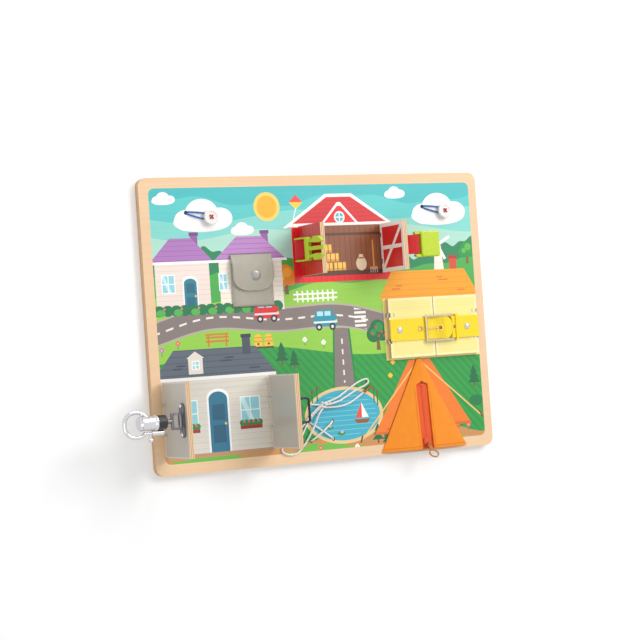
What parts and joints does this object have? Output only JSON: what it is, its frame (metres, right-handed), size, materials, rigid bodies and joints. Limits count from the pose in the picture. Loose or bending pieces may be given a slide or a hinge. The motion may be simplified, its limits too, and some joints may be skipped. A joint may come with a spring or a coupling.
{
  "type": "wooden busy board",
  "caption": "Plywood activity board with hinged doors, buckle, belt, clasp and ring, snap pouch, sewn buttons, lace bow and zipped tent.",
  "frame": {"origin": "middle of the flat back of the board, which lies on its back", "axes": "+X along the board's long side to the picture's right, +Y towards the picture's top, +Z out of the printed face"},
  "size_m": [0.4544, 0.3066, 0.0702],
  "materials": {
    "natural_ply": "clear-lacquered birch plywood, printed on its face",
    "red_door": "plywood under glossy red paint",
    "cream_door": "plywood under cream paint",
    "yellow_door": "plywood under pale yellow paint",
    "hinge_steel": "dull stamped steel",
    "chrome_metal": "polished plating",
    "brass_metal": "polished brass",
    "black_ring": "satin black",
    "lime_plastic": "moulded, glossy",
    "red_webbing": "woven webbing",
    "yellow_belt": "close-woven strap",
    "grey_felt": "smooth felted cloth",
    "white_button": "moulded, glossy",
    "red_thread": "sewing thread",
    "blue_elastic": "braided round elastic",
    "white_lace": "braided round lace",
    "orange_cloth": "plain woven cloth",
    "orange_zip": "woven tape with moulded teeth",
    "orange_metal": "enamelled zip slider",
    "bronze_metal": "dull bronze plating"
  },
  "bodies": {
    "board": {"front_board": "natural_ply", "back_board": "natural_ply", "hinge_tabs": "hinge_steel", "button_left": "white_button", "button_right": "white_button", "elastic_loop_left": "blue_elastic", "elastic_loop_right": "blue_elastic", "button_threads": "red_thread", "pouch_pocket": "grey_felt", "pouch_hem": "grey_felt", "stud_post": "chrome_metal", "lace_crossing": "white_lace", "lace_ear_left": "white_lace", "lace_ear_right": "white_lace", "lace_tail_left": "white_lace", "lace_tail_right": "white_lace", "lace_aglets": "brass_metal", "lace_knot": "white_lace", "tent_cover": "orange_cloth", "zip_tape_left": "orange_zip", "zip_tape_right": "orange_zip", "zip_stops": "orange_metal"},
    "barn_left": {"barn_door_left": "red_door", "barn_door_left_hinge_leaves": "hinge_steel", "webbing_left": "red_webbing"},
    "barn_right": {"barn_door_right": "red_door", "barn_door_right_hinge_leaves": "hinge_steel", "webbing_right": "red_webbing"},
    "plug": {"buckle_plug": "lime_plastic"},
    "socket": {"buckle_socket": "lime_plastic"},
    "house_left": {"house_door_left": "cream_door", "house_door_left_hinge_leaves": "hinge_steel", "clasp_saddle": "chrome_metal", "clasp_rivets": "brass_metal"},
    "clasp_link": {"clasp_eye": "chrome_metal"},
    "clasp_swivel": {"clasp_band": "black_ring", "clasp_hook": "chrome_metal"},
    "gate": {"clasp_gate": "chrome_metal"},
    "house_right": {"house_door_right": "cream_door", "house_door_right_hinge_leaves": "hinge_steel", "ring_saddle": "chrome_metal", "ring_rivets": "brass_metal"},
    "ring": {"hung_ring": "chrome_metal"},
    "shed_left": {"shed_door_left": "yellow_door", "shed_door_left_hinge_leaves": "hinge_steel", "belt_tail": "yellow_belt", "belt_eyelets": "brass_metal", "belt_rivet_left": "chrome_metal"},
    "shed_right": {"shed_door_right": "yellow_door", "shed_door_right_hinge_leaves": "hinge_steel", "belt_strap": "yellow_belt", "belt_keeper": "brass_metal", "belt_rivet_right": "chrome_metal"},
    "belt_frame": {"belt_buckle": "bronze_metal"},
    "prong": {"belt_prong": "bronze_metal"},
    "flap": {"pouch_flap": "grey_felt", "stud_cap": "chrome_metal"},
    "slider": {"zip_slider": "orange_metal"},
    "pull": {"zip_pull": "bronze_metal"}
  },
  "joints": [
    {"name": "barn_left_hinge", "type": "hinge", "parent": "board", "child": "barn_left", "pos_m": [-0.022, 0.0702, 0.0108], "axis": [0, 1, 0], "range_deg": [-40, 90]},
    {"name": "barn_right_hinge", "type": "hinge", "parent": "board", "child": "barn_right", "pos_m": [0.076, 0.0702, 0.0108], "axis": [0, 1, 0], "range_deg": [-90, 40]},
    {"name": "house_left_hinge", "type": "hinge", "parent": "board", "child": "house_left", "pos_m": [-0.1875, -0.09375, 0.0108], "axis": [0, 1, 0], "range_deg": [-40, 90]},
    {"name": "house_right_hinge", "type": "hinge", "parent": "board", "child": "house_right", "pos_m": [-0.068, -0.09375, 0.0108], "axis": [0, 1, 0], "range_deg": [-90, 40]},
    {"name": "shed_left_hinge", "type": "hinge", "parent": "board", "child": "shed_left", "pos_m": [0.0757, -0.01613, 0.0108], "axis": [0, 1, 0], "range_deg": [-120, 0], "deforming": ["belt_tail", "belt_eyelets"]},
    {"name": "shed_right_hinge", "type": "hinge", "parent": "board", "child": "shed_right", "pos_m": [0.1877, -0.01613, 0.0108], "axis": [0, 1, 0], "range_deg": [0, 120], "deforming": ["belt_tail", "belt_eyelets"]},
    {"name": "plug_swing", "type": "hinge", "parent": "barn_left", "child": "plug", "pos_m": [-0.0366, 0.0702, 0.0308], "axis": [0, -1, 0], "range_deg": [-3, 100]},
    {"name": "socket_swing", "type": "hinge", "parent": "barn_right", "child": "socket", "pos_m": [0.0915, 0.0702, 0.0544], "axis": [0, 1, 0], "range_deg": [-90, 90]},
    {"name": "clasp_swing", "type": "hinge", "parent": "house_left", "child": "clasp_link", "pos_m": [-0.19385, -0.09375, 0.0618], "axis": [0, -1, 0], "range_deg": [-60, 60]},
    {"name": "clasp_swivel", "type": "hinge", "parent": "clasp_link", "child": "clasp_swivel", "pos_m": [-0.19385, -0.09375, 0.0618], "axis": [-1, 0, 0], "continuous": true},
    {"name": "gate_slide", "type": "slide", "parent": "clasp_swivel", "child": "gate", "axis": [1, 0, 0], "range_m": [0, 0.0066], "stiffness_N_per_m": 200, "springref_m": -0.003},
    {"name": "ring_swing", "type": "hinge", "parent": "house_right", "child": "ring", "pos_m": [-0.0615, -0.09375, 0.0598], "axis": [0, 1, 0], "range_deg": [-95, 95]},
    {"name": "belt_frame_tilt", "type": "hinge", "parent": "shed_right", "child": "belt_frame", "pos_m": [0.1532, -0.0184, 0.0156], "axis": [0, 1, 0], "range_deg": [0, 75], "deforming": ["belt_tail", "belt_eyelets"]},
    {"name": "prong_lift", "type": "hinge", "parent": "belt_frame", "child": "prong", "pos_m": [0.1532, -0.0184, 0.0156], "axis": [0, 1, 0], "range_deg": [0, 60], "deforming": ["belt_tail", "belt_eyelets"]},
    {"name": "flap_lift", "type": "hinge", "parent": "board", "child": "flap", "pos_m": [-0.08085, 0.069, 0.0093], "axis": [-1, 0, 0], "range_deg": [0, 150]},
    {"name": "zip_slide", "type": "slide", "parent": "board", "child": "slider", "axis": [0, 0.9978, -0.0659], "range_m": [0, 0.054], "deforming": ["zip_tape_left", "zip_tape_right"]},
    {"name": "pull_swing", "type": "hinge", "parent": "slider", "child": "pull", "pos_m": [0.1119, -0.14195, 0.01759], "axis": [-1, 0, 0], "range_deg": [-38, 120]}
  ]
}
